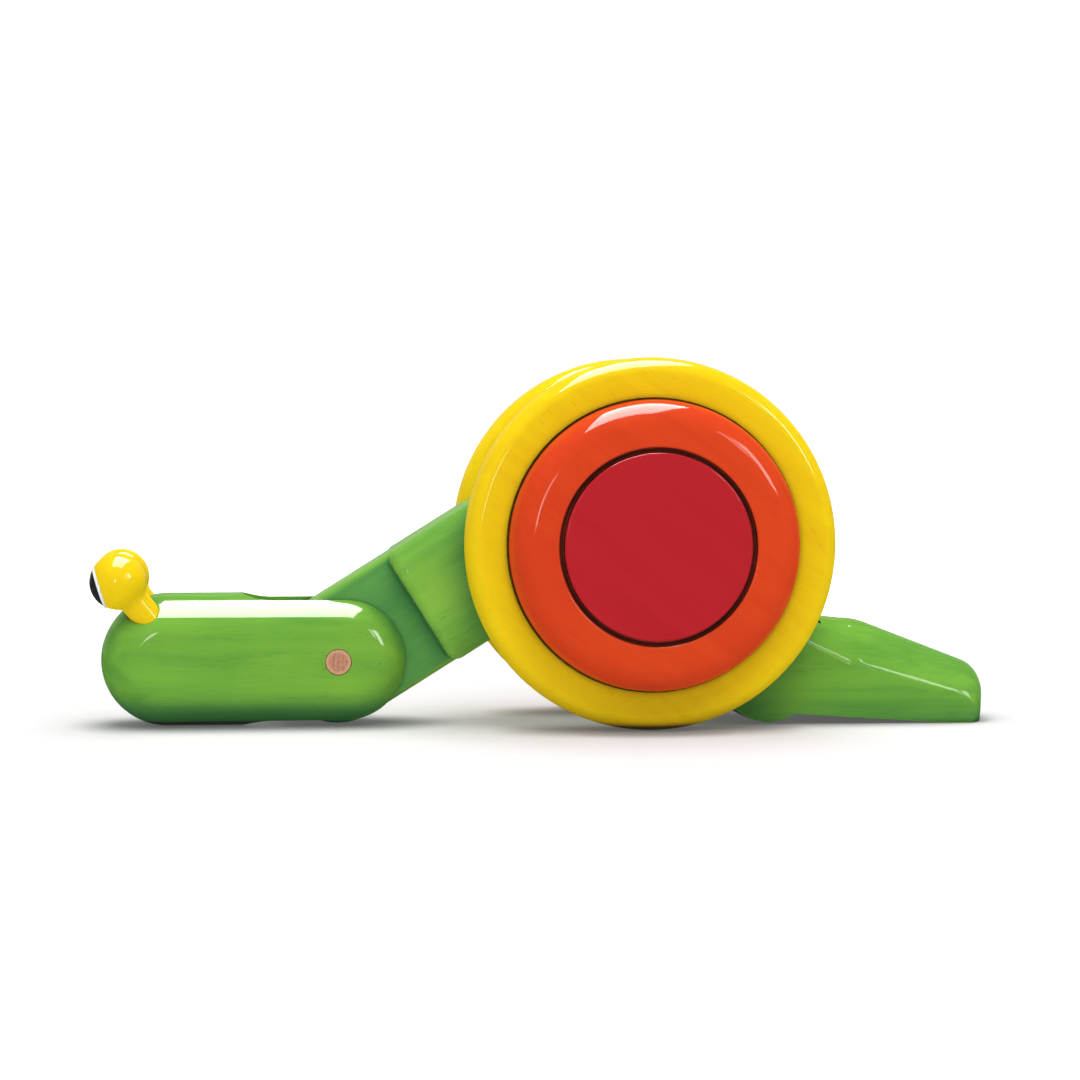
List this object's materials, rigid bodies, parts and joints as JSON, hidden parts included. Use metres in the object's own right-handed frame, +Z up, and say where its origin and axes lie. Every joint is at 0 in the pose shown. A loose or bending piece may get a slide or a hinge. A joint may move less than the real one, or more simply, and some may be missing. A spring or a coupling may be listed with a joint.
{
  "type": "pull along toy",
  "caption": "Wooden pull-along snail: a head and a tail on hinged legs that stretch and shrink as the eccentric round shell between them rolls.",
  "frame": {"origin": "on the floor, under the middle of the toy's bounding box", "axes": "-X the way the snail faces and is pulled, +Y its right side, +Z up"},
  "size_m": [0.2454, 0.0858, 0.1],
  "materials": {
    "green_wood": "glossy translucent green lacquer over close-grained hardwood",
    "yellow_wood": "glossy translucent yellow lacquer over close-grained hardwood",
    "orange_wood": "glossy orange lacquer over turned hardwood",
    "red_wood": "satin red lacquer over turned hardwood",
    "natural_wood": "bare sanded hardwood dowel",
    "eye_white": "gloss white",
    "eye_black": "high gloss black"
  },
  "bodies": {
    "neck": {"neck": "green_wood"},
    "head": {"head_block": "green_wood", "head_hinge_dowel": "natural_wood", "eye_peg_left": "yellow_wood", "eye_peg_right": "yellow_wood", "eye_white_left": "eye_white", "eye_white_right": "eye_white", "eye_pupil_left": "eye_black", "eye_pupil_right": "eye_black"},
    "shell": {"crank_dowel": "natural_wood", "spacer_washer_left": "natural_wood", "spacer_washer_right": "natural_wood", "wheel_left": "yellow_wood", "wheel_right": "yellow_wood", "wheel_ring_left": "orange_wood", "wheel_ring_right": "orange_wood", "wheel_cap_left": "red_wood", "wheel_cap_right": "red_wood"},
    "rear_leg": {"rear_leg": "green_wood"},
    "tail": {"tail_block": "green_wood", "tail_hinge_dowel": "natural_wood"}
  },
  "joints": [
    {"name": "head_hinge", "type": "hinge", "parent": "neck", "child": "head", "pos_m": [-0.05586, 0, 0.018], "axis": [0, -1, 0], "range_deg": [-40, 60]},
    {"name": "shell_spin", "type": "hinge", "parent": "neck", "child": "shell", "pos_m": [0.00265, 0, 0.05456], "axis": [0, -1, 0], "continuous": true},
    {"name": "leg_hinge", "type": "hinge", "parent": "neck", "child": "rear_leg", "pos_m": [0.00265, 0, 0.05456], "axis": [0, -1, 0], "range_deg": [-52, 90]},
    {"name": "tail_hinge", "type": "hinge", "parent": "rear_leg", "child": "tail", "pos_m": [0.06116, 0, 0.018], "axis": [0, -1, 0], "range_deg": [-60, 45]}
  ]
}
